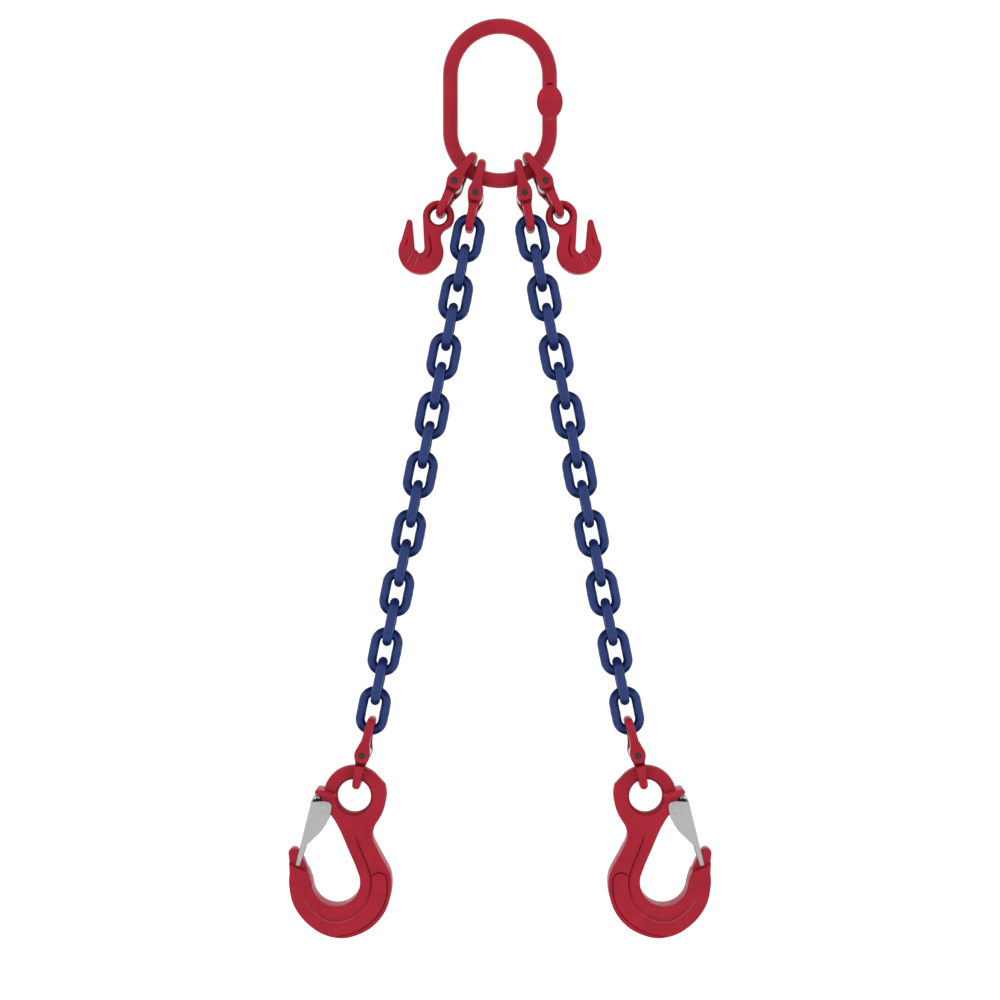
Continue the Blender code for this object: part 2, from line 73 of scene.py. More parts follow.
# Master link and disc
MASTER_WIRE = 7.5 * MM              # the wire's radius
DISC_HALF_WIDTH, DISC_HALF_HEIGHT = 13.1, 17.1
DISC_EDGE = 1.0
DISC_CUT = 0.3                      # what the flat cut takes off the disc's faces
DISC_CUT_DEPTH = 1.9                # the cut rises and flares by this much
DISC_DRAFT = 0.19                   # how much smaller the disc is at its back
DISC_CUT_FLARE = (2.0, 0.4)         # how far the cut flares, and how much more so above the disc
DISC_CREASE = (3.8, 5.2)            # the painted shade crescent above the disc and the painted highlight below it fade out between these half widths

# Chain
CHAIN_WIRE = 4.7 * MM               # the wire's radius
LINK_HALF_WIDTH = 11.35 * MM        # to the wire's centre
LINK_PITCH = 30.08 * MM
LINK_CLEARANCE = 0.3 * MM
WELD_SWELL = 0.05                   # share of the wire's radius
WELD_HALF_LENGTH = 2.6 * MM

# Coupling link, from its pin
LUG_RADIUS = 7.6
LUG_OUTER, LUG_MIDDLE, LUG_INNER = 21.0, 14.95, 9.2
LUG_CLEARANCE = 0.3
SHOULDER = 10.4
BAR_HALF_WIDTH = 4.15
BOW_HALF_DEPTH = 4.5
BOW_OFFSET = 13.3                   # from the middle to the bow's wire
BOW_BOTTOM = 32.5
BOW_CORNER = 9.0
PIN_RADIUS = 3.25
SLEEVE_RADIUS = 7.3
SLEEVE_HALF_LENGTH = 8.8

# Sling hook, from the centre of its eye
HOOK_EYE_RADIUS = 16.6
HOOK_EYE_DROP = HOOK_EYE_RADIUS - BOW_HALF_DEPTH - LUG_CLEARANCE
HOOK_RING_RADIUS = 30.9
HOOK_NECK, HOOK_BOWL = 6.8, 11.0    # half thicknesses
HOOK_SLOPE = (-30.0, -56.0)
BOWL_CENTRE, BOWL_RADIUS = (-17.6, -84.4), 23.9
TIP_CENTRE, TIP_RADIUS = (-60.3, -56.4), 5.1
TIP_STEP, TIP_STEP_TILT = (-55.2, -69.7), math.radians(22)
RIVET_CENTRE = (-30.4, -11.5)

# Grab hook, from the centre of its eye
GRAB_EYE_RADIUS = 8.2
GRAB_EYE_DROP = GRAB_EYE_RADIUS - BOW_HALF_DEPTH - LUG_CLEARANCE
GRAB_HALF_THICKNESS = 6.5

# Latch
LATCH_SHEET = 1.5
LATCH_INNER_HALF_WIDTH = 7.2
LATCH_LIP_HALF_WIDTH = 8.2


# Outlines, as lists of (x, z) in millimetres

def arc(centre, radius, start, end, steps):
    angles = np.radians(np.linspace(start, end, steps + 1))
    return [(centre[0] + radius * math.cos(a), centre[1] + radius * math.sin(a)) for a in angles]


def rounded(points, steps=8):
    """A smooth run through the points: a Catmull-Rom spline, with its ends kept."""
    ends = [points[0], *points, points[-1]]
    run = []
    for p0, p1, p2, p3 in zip(ends, ends[1:], ends[2:], ends[3:]):
        for t in np.arange(steps) / steps:
            run.append(tuple(
                0.5 * (2 * b + (c - a) * t + (2 * a - 5 * b + 4 * c - d) * t**2
                       + (3 * b - a - 3 * c + d) * t**3)
                for a, b, c, d in zip(p0, p1, p2, p3)
            ))
    return [*run, points[-1]]


def evenly(points, step, closed=True):
    """The same line with its points a given step apart."""
    line = np.array([*points, points[0]] if closed else points, float)
    run = np.concatenate([[0], np.cumsum(np.linalg.norm(np.diff(line, axis=0), axis=1))])
    count = max(2, round(run[-1] / step))
    at = np.linspace(0, run[-1], count + 1)
    even = np.stack([np.interp(at, run, line[:, i]) for i in range(line.shape[1])], axis=1)
    return even[:-1] if closed else even


def smoothstep(low, high, value):
    t = np.clip((value - low) / (high - low), 0, 1)
    return t * t * (3 - 2 * t)


def between(value, start, end, blend=0.08):
    """1 from start to end, and 0 further out than the blend."""
    begun = smoothstep(start - blend, start + blend, value)
    ended = smoothstep(end - blend, end + blend, value)
    return begun * (1 - ended)


def nearest(points, line, closed):
    """Each point's distance from a line, its side of it (positive on the left), and how far along."""
    starts = line
    ends = np.roll(line, -1, axis=0)
    if not closed:
        starts, ends = line[:-1], line[1:]
    along = ends - starts
    lengths = np.maximum((along**2).sum(axis=1), 1e-12)
    best = np.full(len(points), np.inf)
    side = np.zeros(len(points))
    passed = np.zeros(len(points))
    for i, (start, step, length) in enumerate(zip(starts, along, lengths)):
        offset = points - start
        share = np.clip(offset @ step / length, 0, 1)
        distance = np.linalg.norm(offset - share[:, None] * step, axis=1)
        closer = distance < best
        best[closer] = distance[closer]
        turn = step[0] * offset[:, 1] - step[1] * offset[:, 0]
        side[closer] = np.sign(turn[closer])
        passed[closer] = (i + share[closer]) / len(starts)
    return best, side, passed


def inside(points, loops):
    """Which points lie in the material: within an odd number of loops."""
    found = np.zeros(len(points), bool)
    for loop in loops:
        for (x0, z0), (x1, z1) in zip(loop, np.roll(loop, -1, axis=0)):
            if z0 != z1:
                crosses = (z0 > points[:, 1]) != (z1 > points[:, 1])
                found ^= crosses & (points[:, 0] < (x1 - x0) * (points[:, 1] - z0) / (z1 - z0) + x0)
    return found


# Solids

def mesh_of(name, vertices, faces, painted_shading=None):
    """A closed mesh from vertices in metres, welded, facing out and shaded smooth but for its sharp edges.

    A vertex's value is 1 where shade is painted into the depth of a crease, and -1 where a highlight is
    painted along an edge.
    """
    mesh = bpy.data.meshes.new(name)
    mesh.from_pydata(np.asarray(vertices).tolist(), [], faces)
    if painted_shading is not None:
        mesh.attributes.new("painted_shading", "FLOAT", "POINT").data.foreach_set("value", painted_shading)
    body = bmesh.new()
    body.from_mesh(mesh)
    bmesh.ops.remove_doubles(body, verts=body.verts, dist=0.001 * MM)
    bmesh.ops.recalc_face_normals(body, faces=body.faces)
    body.to_mesh(mesh)
    body.free()
    return shaded(mesh)


def shaded(mesh):
    mesh.shade_smooth()
    mesh.set_sharp_from_angle(angle=SHARP_EDGE)
    return mesh


def skin(name, rings, closed=False, painted_shading=None):
    """A skin over rings of points, with its ends capped unless it closes on itself."""
    rings = np.asarray(rings)
    count, sides = rings.shape[:2]
    faces = []
    for i in range(count if closed else count - 1):
        here, there = i * sides, (i + 1) % count * sides
        for j in range(sides):
            k = (j + 1) % sides
            faces.append((here + j, here + k, there + k, there + j))
    points = rings.reshape(-1, 3)
    if not closed:
        faces.append(tuple(range(sides)))
        faces.append(tuple(range(len(points) - sides, len(points))))
    return mesh_of(name, points, faces, painted_shading(points) if painted_shading else None)


def rounded_rectangle(half_width, half_depth, corner, per_corner=6):
    """Points round a rectangle with rounded corners."""
    corner = min(corner, half_width, half_depth)
    points = []
    for quarter, (sx, sy) in enumerate(((1, 1), (-1, 1), (-1, -1), (1, -1))):
        centre = (sx * (half_width - corner), sy * (half_depth - corner))
        points += arc(centre, corner, 90 * quarter, 90 * quarter + 90, per_corner - 1)
    return points


def loop_skin(name, half_width, straight, top, wire, around, along, swell=None, painted_shading=None):
    """A closed round wire: two straight sides and two half circles in the XZ plane."""
    centre_top, centre_bottom = top - half_width, top - half_width - straight
    steps = along // 4
    path = arc((0, centre_top), half_width, 180, 0, steps)
    path += [(half_width, z) for z in np.linspace(centre_top, centre_bottom, steps + 1)[1:-1]]
    path += arc((0, centre_bottom), half_width, 0, -180, steps)
    path += [(-half_width, z) for z in np.linspace(centre_bottom, centre_top, steps + 1)[1:-1]]
    rings = []
    for i, (x, z) in enumerate(path):
        x0, z0 = path[i - 1]
        x1, z1 = path[(i + 1) % len(path)]
        normal = Vector((z1 - z0, 0, x0 - x1)).normalized()
        radius = wire * (1 + (swell(x, z) if swell else 0))
        rings.append([
            Vector((x, 0, z)) + radius * (math.cos(a) * normal + math.sin(a) * Vector((0, 1, 0)))
            for a in np.linspace(0, 2 * math.pi, around, endpoint=False)
        ])
    return skin(name, rings, closed=True, painted_shading=painted_shading)


def turned(name, profile, sides=48):
    """A solid turned about Y, from (radius, y) points in millimetres that start and end on the axis."""
    rings = [
        [(r * MM * math.cos(a), y * MM, r * MM * math.sin(a))
         for a in np.linspace(0, 2 * math.pi, sides, endpoint=False)]
        for r, y in profile
    ]
    return skin(name, rings)


def forging(name, outer, holes, thickness, edge, ridges=(), hole_shade=0.0, grid=1.5):
    """A piece between two like faces that are parallel to XZ.

    thickness and edge give the half thickness and the edge radius at points. Each ridge is a line on
    both faces, where the surface drops on one side and rises again slowly. Its foot gets painted shade
    over one stretch of the line, and its top a painted highlight over another.
    """
    loops = [evenly(loop, OUTLINE_STEP) for loop in (outer, *holes)]
    rims = []
    for loop in loops:
        tangent = np.roll(loop, -1, axis=0) - np.roll(loop, 1, axis=0)
        inward = np.stack([-tangent[:, 1], tangent[:, 0]], axis=1)
        inward /= np.linalg.norm(inward, axis=1)[:, None]
        if not inside(loop[:1] + 0.05 * inward[:1], loops)[0]:
            inward = -inward
        rims.append(inward)

    def depth_inside(points):
        return np.min([nearest(points, loop, True)[0] for loop in loops], axis=0)

    chosen = [np.concatenate(loops)]
    for turn in RIM_TURNS:
        for loop, inward in zip(loops, rims):
            reach = edge(loop) * (1 - math.cos(turn))
            moved = loop + reach[:, None] * inward
            chosen.append(moved[depth_inside(moved) > 0.96 * reach])
    lines = [evenly(ridge["line"], RIDGE_STEP, closed=False) for ridge in ridges]
    for line in lines:
        tangent = np.gradient(line, axis=0)
        across = np.stack([-tangent[:, 1], tangent[:, 0]], axis=1)
        across /= np.linalg.norm(across, axis=1)[:, None]
        for offset in RIDGE_ROWS:
            moved = line + offset * across
            moved = moved[inside(moved, loops)]
            chosen.append(moved[depth_inside(moved) > 0.9 * edge(moved) + 0.3])
    low, high = loops[0].min(axis=0), loops[0].max(axis=0)
    xs, zs = np.arange(low[0], high[0], grid), np.arange(low[1], high[1], grid * 0.866)
    field = np.array([(x + grid / 2 * (j % 2), z) for j, z in enumerate(zs) for x in xs])
    field = field[inside(field, loops)]
    field = field[depth_inside(field) > edge(field) + 0.4 * grid]
    for line in lines:
        field = field[nearest(field, line, False)[0] > RIDGE_ROWS[-1] + 0.4 * grid]
    chosen.append(field)

    sites = np.concatenate(chosen)
    rim_edges = []
    start = 0
    for loop in loops:
        rim_edges += [(start + i, start + (i + 1) % len(loop)) for i in range(len(loop))]
        start += len(loop)
    made = delaunay_2d_cdt([Vector(p) for p in sites], rim_edges, [], 0, 1e-5, False)
    flat = np.array([(v.x, v.y) for v in made[0]])
    triangles = np.array([tuple(f) for f in made[2]])
    triangles = triangles[inside(flat[triangles].mean(axis=1), loops)]

    depth = depth_inside(flat)
    radius = np.minimum(edge(flat), thickness(flat))
    share = np.clip(1 - depth / radius, 0, 1)
    height = thickness(flat) - radius + radius * np.sqrt(1 - share**2)
    painted_shading, shine = np.zeros(len(flat)), np.zeros(len(flat))
    # Painted shade round each hole's edge
    for hole in loops[1:]:
        painted_shading = hole_shade * (1 - smoothstep(*HOLE_SHADE_REACH, nearest(flat, hole, True)[0]))
    # Painted shade at each ridge's foot, and a painted highlight along its top
    for ridge, line in zip(ridges, lines):
        distance, side, passed = nearest(flat, line, False)
        dropped = side == ridge["side"]
        ends = smoothstep(0, ridge["fade"][0], passed) * smoothstep(0, ridge["fade"][1], 1 - passed)
        drop = ridge["drop"] * ends * smoothstep(0, ridge["wall"], distance) * dropped
        height -= drop * np.exp(-distance / ridge["recover"]) * smoothstep(0, 1, depth / radius)
        dark = between(passed, *ridge["painted_shading"]) * smoothstep(0, 0.3, ends)
        foot = 1 - smoothstep(0.3 * ridge["soft"], ridge["soft"], distance)
        dark *= np.where(dropped, foot, 1 - smoothstep(0, 0.3, distance))
        painted_shading = np.maximum(painted_shading, dark)
        # Painted highlight along the ridge's top, stored below zero
        painted_highlight = between(passed, *ridge["painted_highlight"]) * smoothstep(0, 0.3, ends)
        shine = np.maximum(shine, painted_highlight * ~dropped * (1 - smoothstep(0.3, 0.8, distance)))
    painted_shading -= shine

    count = len(flat)
    front = np.stack([flat[:, 0], -height, flat[:, 1]], axis=1)
    back = np.stack([flat[:, 0], height, flat[:, 1]], axis=1)
    faces = [tuple(t) for t in triangles] + [tuple(t[::-1] + count) for t in triangles]
    edges = np.concatenate([triangles[:, [0, 1]], triangles[:, [1, 2]], triangles[:, [2, 0]]])
    directed = {tuple(e) for e in edges.tolist()}
    faces += [(b, a, a + count, b + count) for a, b in directed if (b, a) not in directed]
    return mesh_of(name, np.concatenate([front, back]) * MM, faces, np.concatenate([painted_shading, painted_shading]))


def boolean(mesh, operation, *tools):
    """The mesh joined with others, or cut by them."""
    body = bpy.data.objects.new(mesh.name, mesh)
    bpy.context.scene.collection.objects.link(body)
    helpers = []
    for tool in tools:
        helper = bpy.data.objects.new(tool.name, tool)
        bpy.context.scene.collection.objects.link(helper)
        modifier = body.modifiers.new(tool.name, "BOOLEAN")
        modifier.operation = operation
        modifier.solver = "EXACT"
        modifier.object = helper
        helpers.append(helper)
    return applied(body, *helpers)


def applied(body, *helpers):
    """The object's evaluated mesh, with the object and its helpers removed."""
    graph = bpy.context.evaluated_depsgraph_get()
    made = bpy.data.meshes.new_from_object(body.evaluated_get(graph))
    made.name = body.data.name
    for used in (body, *helpers):
        bpy.data.objects.remove(used, do_unlink=True)
    return shaded(made)


def plate(name, outline, half_thickness, bevel=0.0, segments=4):
    """A flat piece with straight sides, and its sharp edges rounded. Sizes in millimetres."""
    body = bmesh.new()
    front = [body.verts.new((x * MM, -half_thickness * MM, z * MM)) for x, z in outline]
    face = body.faces.new(front)
    side = bmesh.ops.extrude_face_region(body, geom=[face])["geom"]
    raised = [v for v in side if isinstance(v, bmesh.types.BMVert)]
    bmesh.ops.translate(body, verts=raised, vec=(0, 2 * half_thickness * MM, 0))
    bmesh.ops.recalc_face_normals(body, faces=body.faces)
    if bevel:
        rims = [e for e in body.edges if e.calc_face_angle(0) > math.radians(50)]
        bmesh.ops.bevel(body, geom=rims, offset=bevel * MM, segments=segments, profile=0.5,
                        affect="EDGES", clamp_overlap=True)
    mesh = bpy.data.meshes.new(name)
    body.to_mesh(mesh)
    body.free()
    return shaded(mesh)


# The shapes, each made once

def master_link_mesh():
    """The oblong ring and the oval disc on its right side, cut flat together on both faces."""
    low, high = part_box("master_link")
    height = high.z - low.z
    disc = Vector(next(m["pos_m"] for m in frame["record"]["mounts"] if m["name"] == "id_disc_face"))
    half_width = disc.x
    straight = height - 2 * half_width - 2 * MASTER_WIRE
    ring = loop_skin("master_link", half_width, straight, high.z - MASTER_WIRE, MASTER_WIRE,
                     around=48, along=240)
    half_thickness = -disc.y / MM
    angles = np.linspace(0, 2 * math.pi, 120, endpoint=False)

    def oval(margin):
        across, up = DISC_HALF_WIDTH + margin, DISC_HALF_HEIGHT + margin
        return np.stack([across * np.cos(angles), up * np.sin(angles)], axis=1)

    at_disc = Matrix.Translation((disc.x, 0, disc.z))
    disc_mesh = forging("disc", oval(0), [], lambda p: np.full(len(p), half_thickness + DISC_CUT),
                        lambda p: np.full(len(p), DISC_EDGE))
    for vertex in disc_mesh.vertices:
        back = (vertex.co.y / (half_thickness * MM) + 1) / 2
        vertex.co *= Vector((1 - DISC_DRAFT * back, 1, 1 - DISC_DRAFT * back))
    disc_mesh.transform(at_disc)
    ring = boolean(ring, "UNION", disc_mesh)
    cuts = []
    for face in (-1, 1):
        rings = []
        for flare in np.linspace(0, 1, 7):
            y = face * (half_thickness + DISC_CUT_DEPTH * flare)
            margin = DISC_CUT + (DISC_CUT_FLARE[0] + DISC_CUT_FLARE[1] * np.sin(angles)) * flare
            rings.append([(x * MM, y * MM, z * MM) for x, z in oval(margin)])
        cut = skin(f"cut_{face}", rings)
        cut.transform(at_disc)
        cuts.append(cut)
    ring = boolean(ring, "DIFFERENCE", *cuts)

    # The cut's slopes lie below the wire's surface: painted shade above the disc, and a painted highlight
    # below it
    x, y, z = np.array([v.co - at_disc.translation for v in ring.vertices]).T / MM
    outside = np.hypot(x / DISC_HALF_WIDTH, z / DISC_HALF_HEIGHT)
    below_surface = np.hypot(x, y) < MASTER_WIRE / MM - 0.03
    slope = smoothstep(1.0, 1.02, outside) * (outside < 1.3) * below_surface
    slope *= np.where(z > 0, 1, -0.7) * (1 - smoothstep(*DISC_CREASE, np.abs(x)))
    painted_shading = ring.attributes.get("painted_shading") or ring.attributes.new("painted_shading", "FLOAT", "POINT")
    painted_shading.data.foreach_set("value", slope)
    return ring


def link_mesh():
    """A chain link whose upper neighbour's wire is centred on the origin, its weld on one side."""
    top = 2 * CHAIN_WIRE + LINK_CLEARANCE
    straight = LINK_PITCH + top - 2 * LINK_HALF_WIDTH
    middle = top - LINK_HALF_WIDTH - straight / 2

    def weld(x, z):
        return WELD_SWELL * math.exp(-((z - middle) / WELD_HALF_LENGTH) ** 2) if x > 0 else 0

    def painted_crown_shade(points):
        """Painted shade: dark on the inside of the wire, most of all near the crowns, and on the crowns'
        ends, where neighbouring links would shade it.
        """
        from_middle = points[:, 2] - middle
        beyond = np.sign(from_middle) * np.maximum(np.abs(from_middle) - straight / 2, 0)
        out = np.stack([points[:, 0], beyond], axis=1)
        radius = np.linalg.norm(out, axis=1)
        inward = (LINK_HALF_WIDTH - radius) / CHAIN_WIRE
        near_crown = smoothstep(0, 0.5 * straight, np.abs(from_middle))
        inner = smoothstep(0.15, 0.70, inward) * (0.35 + 0.65 * near_crown)
        end = smoothstep(0.0, 0.35, -inward) * smoothstep(0.45, 0.75, np.abs(beyond) / radius)
        return np.maximum(inner, end)

    return loop_skin("chain_link", LINK_HALF_WIDTH, straight, top, CHAIN_WIRE, around=28, along=112,
                     swell=weld, painted_shading=painted_crown_shade)


def half_mesh():
    """A coupling half with its pin on Y and its bow below: the lower half as it hangs.

    It is a skin over sections from the end of the outer lug, round the bow, to the end of the inner
    lug. A section is (y, z, the way it leans, half width, half depth, corner radius).
    """
    def bar_width(drop):
        return BAR_HALF_WIDTH + (LUG_RADIUS - BAR_HALF_WIDTH) * (1 - smoothstep(1, 15, drop))

    def lug(near, far, sign, lean):
        middle, half = sign * (near + far) / 2, (far - near) / 2
        turns = np.radians(np.linspace(89, 0, 16))
        sections = [
            (middle, LUG_RADIUS * math.sin(t), lean, LUG_RADIUS * math.cos(t), half, 0.5) for t in turns
        ]
        sections += [(middle, -d, lean, bar_width(d), half, 0.5) for d in (2, 4, 6, 8, SHOULDER)]
        return sections

    def arm(sign, lean):
        sections = []
        for drop in (SHOULDER + 0.25, 12, 14, 16, 18, 20, 22, BOW_BOTTOM - BOW_CORNER):
            share = smoothstep(SHOULDER + 2, BOW_BOTTOM - BOW_CORNER, drop)
            outer = LUG_OUTER - share * (LUG_OUTER - BOW_OFFSET - BOW_HALF_DEPTH)
            inner = LUG_INNER - share * (LUG_INNER - BOW_OFFSET + BOW_HALF_DEPTH)
            sections.append((sign * (outer + inner) / 2, -drop, lean, bar_width(drop),
                             (outer - inner) / 2, 0.7 + 1.3 * share))
        return sections

    def bow():
        sections = []
        for turn in np.radians(np.linspace(0, 180, 33))[1:-1]:
            y = (BOW_OFFSET - BOW_CORNER) * (1 if turn < math.pi / 2 else -1)
            if abs(turn - math.pi / 2) < 1e-6:
                y = 0
            corner = 2.0 + 2.0 * math.sin(turn) ** 2
            sections.append((y + BOW_CORNER * math.cos(turn),
                             -(BOW_BOTTOM - BOW_CORNER) - BOW_CORNER * math.sin(turn),
                             turn, BAR_HALF_WIDTH, BOW_HALF_DEPTH, corner))
        return sections

    sections = lug(LUG_MIDDLE + LUG_CLEARANCE, LUG_OUTER, 1, 0) + arm(1, 0) + bow()
    sections += arm(-1, math.pi)[::-1]
    sections += lug(LUG_INNER, LUG_MIDDLE - LUG_CLEARANCE, -1, math.pi)[::-1]
    rings = []
    for y, z, lean, half_width, half_depth, corner in sections:
        ring = []
        for x, depth in rounded_rectangle(max(half_width, 0.05), half_depth, corner):
            ring.append((x * MM, (y + depth * math.cos(lean)) * MM, (z - depth * math.sin(lean)) * MM))
        rings.append(ring)
    bore = turned("bore", [(0.01, -25), (PIN_RADIUS + 0.06, -25), (PIN_RADIUS + 0.06, 25), (0.01, 25)])

    # Painted shade along the step below each lug, on the front
    def shoulder_shade(points):
        below = np.abs(-points[:, 2] / MM - SHOULDER)
        return 0.9 * (1 - smoothstep(0.4, 1.4, below)) * (points[:, 1] < 0)

    return boolean(skin("coupling_half", rings, painted_shading=shoulder_shade), "DIFFERENCE", bore)


def pin_mesh():
    end = LUG_OUTER - 0.1
    edge = 0.35
    return turned("load_pin", [
        (0.01, -end), (PIN_RADIUS - edge, -end), (PIN_RADIUS, -end + edge), (PIN_RADIUS, end - edge),
        (PIN_RADIUS - edge, end), (0.01, end),
    ])


def sleeve_mesh():
    end, edge, hole = SLEEVE_HALF_LENGTH, 0.6, PIN_RADIUS + 0.06
    rings = [
        (hole, -end), (SLEEVE_RADIUS - edge, -end), (SLEEVE_RADIUS, -end + edge),
        (SLEEVE_RADIUS, end - edge), (SLEEVE_RADIUS - edge, end), (hole, end),
    ]
    around = np.linspace(0, 2 * math.pi, 64, endpoint=False)
    return skin("sleeve", [
        [(r * MM * math.cos(a), y * MM, r * MM * math.sin(a)) for a in around] for r, y in rings
    ], closed=True)


def grab_hook_mesh():
    outline = arc((0, 0), 15.85, 186, -38, 60)
    outline += rounded([(12.0, -10.6), (5.9, -14.3), (2.6, -19.0), (2.7, -25.0), (4.6, -31.0)])
    outline += arc((-17.6, -35.5), 22.5, 8, -210, 70)
    outline += arc((-29.0, -6.4), 2.9, 172, 4, 16)
    outline += rounded([(-23.9, -31.4), (-23.0, -33.6), (-21.3, -34.6), (-19.6, -36.6), (-17.4, -36.8),
                        (-14.9, -34.6), (-14.1, -32.0)], 4)
    eye = arc((0, 0), GRAB_EYE_RADIUS, 0, 356, 89)
    # Dark ridge feet and the ring round the eye are painted shade; pale ridge tops are painted highlights
    slot_side = {"side": -1, "drop": 1.7, "wall": 0.5, "recover": 3.5, "fade": (0.45, 0.35),
                 "painted_shading": (0.15, 0.75), "soft": 2.6, "painted_highlight": NOWHERE}
    right_side = {"side": 1, "drop": 0.9, "wall": 0.5, "recover": 4.0, "fade": (0.02, 0.5),
                  "painted_shading": NOWHERE, "soft": 1, "painted_highlight": (-1, 0.8)}
    ridges = [
        {"line": rounded([(-9.9, -13.8), (-8.4, -20.5), (-6.8, -30.0), (-6.8, -34.8), (-8.9, -40.6),
                          (-12.7, -43.9), (-16.1, -49.2)]), **slot_side},
        {"line": rounded([(-30.0, -17.5), (-30.2, -24.0), (-33.0, -31.5)]), "side": -1, "drop": 1.0,
         "wall": 0.7, "recover": 2.2, "fade": (0.6, 0.5), "painted_shading": (0.3, 1.3), "soft": 1.8,
         "painted_highlight": NOWHERE},
        {"line": [(-24.4, -35.4), (-32.4, -49.7)], **right_side},
        {"line": [(-18.3, -37.4), (-22.8, -48.7), (-25.2, -53.5)], **right_side},
    ]

    def edge(p):
        near_eye = np.linalg.norm(p, axis=1)
        return 2.3 + 2.0 * (1 - smoothstep(14, 24, near_eye))

    return forging("grab_hook", outline, [eye], lambda p: np.full(len(p), GRAB_HALF_THICKNESS), edge,
                   ridges, hole_shade=0.95, grid=1.2)


def hook_thickness(points):
    x, z = points[:, 0], points[:, 1]
    half = HOOK_NECK + (HOOK_BOWL - HOOK_NECK) * smoothstep(HOOK_SLOPE[0], HOOK_SLOPE[1], z)
    above = (x - TIP_STEP[0]) * math.sin(TIP_STEP_TILT) + (z - TIP_STEP[1]) * math.cos(TIP_STEP_TILT)
    tip = (x < -40) & (z > -80)
    return np.where(tip, HOOK_NECK + (HOOK_BOWL - HOOK_NECK) * (1 - smoothstep(0, 0.5, above)), half)


def sling_hook_mesh():
    outline = arc((0, 0), HOOK_RING_RADIUS, 200, 42, 80)
    outline += [(24.6, 18.9), (28.9, 14.2), (31.0, 12.2)]
    outline += rounded([
        (31.6, 10.0), (32.4, 0.5), (28.6, -16.0), (19.9, -31.5), (19.6, -43.0), (28.4, -60.8),
        (36.8, -77.6), (37.2, -95.5), (30.4, -115.4), (15.3, -131.3), (-7.5, -140.0), (-29.4, -136.7),
        (-47.3, -124.3), (-59.7, -106.9), (-64.1, -87.6), (-63.8, -72.7), (-65.3, -56.8),
    ])
    outline += arc(TIP_CENTRE, TIP_RADIUS, 170, 20, 24)
    outline += rounded([(-50.3, -62.7), (-45.2, -74.4), (-42.6, -82.0)])
    outline += arc(BOWL_CENTRE, BOWL_RADIUS, 185, 375, 90)
    outline += rounded([(1.0, -66.0), (-11.5, -38.7), (-19.4, -24.0), (-26.6, -14.0)])
    eye = arc((0, 0), HOOK_EYE_RADIUS, 0, 358, 179)
    inner_line = rounded([
        (0.5, -32.0), (6.2, -48.0), (12.9, -63.7), (17.5, -77.4), (18.1, -86.6), (16.4, -96.8),
        (10.7, -108.2), (0.4, -117.9), (-9.8, -122.4), (-19.0, -123.4), (-28.1, -121.3),
        (-37.2, -115.1), (-45.2, -107.0), (-50.3, -99.1), (-52.6, -92.2),
    ])
    outer_line = rounded([
        (-17.3, -137.6), (-5.3, -135.4), (6.2, -131.0), (17.5, -123.0), (26.6, -112.8),
        (31.8, -100.3), (32.9, -88.8), (32.4, -79.7), (29.5, -76.4), (24.9, -75.1), (20.6, -76.6),
        (18.1, -79.7),
    ])
    # Dark ridge feet are painted shade and pale tops are painted highlights; the third line has no drop and
    # is painted shade only; the eye's rim is painted shade
    ridges = [
        {"line": inner_line, "side": -1, "drop": 1.6, "wall": 0.4, "recover": 5.0,
         "fade": (0.14, 0.25), "painted_shading": (0.04, 0.42), "soft": 2.0, "painted_highlight": (0.55, 0.95)},
        {"line": outer_line, "side": -1, "drop": 1.1, "wall": 0.3, "recover": 3.0,
         "fade": (0.01, 0.05), "painted_shading": EVERYWHERE, "soft": 1.5, "painted_highlight": NOWHERE},
        {"line": [(-60.5, -68.2), (-46.5, -73.9)], "side": 1, "drop": 0, "wall": 1, "recover": 1,
         "fade": (0.1, 0.1), "painted_shading": EVERYWHERE, "soft": 1.3, "painted_highlight": NOWHERE},
    ]

    def edge(p):
        return 2.3 + 2.4 * smoothstep(-16, 14, p[:, 1]) - 0.6 * smoothstep(-40, -50, p[:, 0])

    body = forging("sling_hook", outline, [eye], hook_thickness, edge, ridges, hole_shade=0.6)
    ledge = plate("ledge", arc((-35.5, 5.4), 2.8, 75, 255, 12) + arc((-20.4, 1.8), 2.8, 255, 435, 12),
                  12.0, bevel=0.7)
    lug = plate("lug", arc(RIVET_CENTRE, 5.6, 100, 350, 24) + [(-19.5, -17.0), (-19.5, 2.2), (-33.0, 2.2)],
                6.6, bevel=0.6)
    return boolean(body, "UNION", ledge, lug)


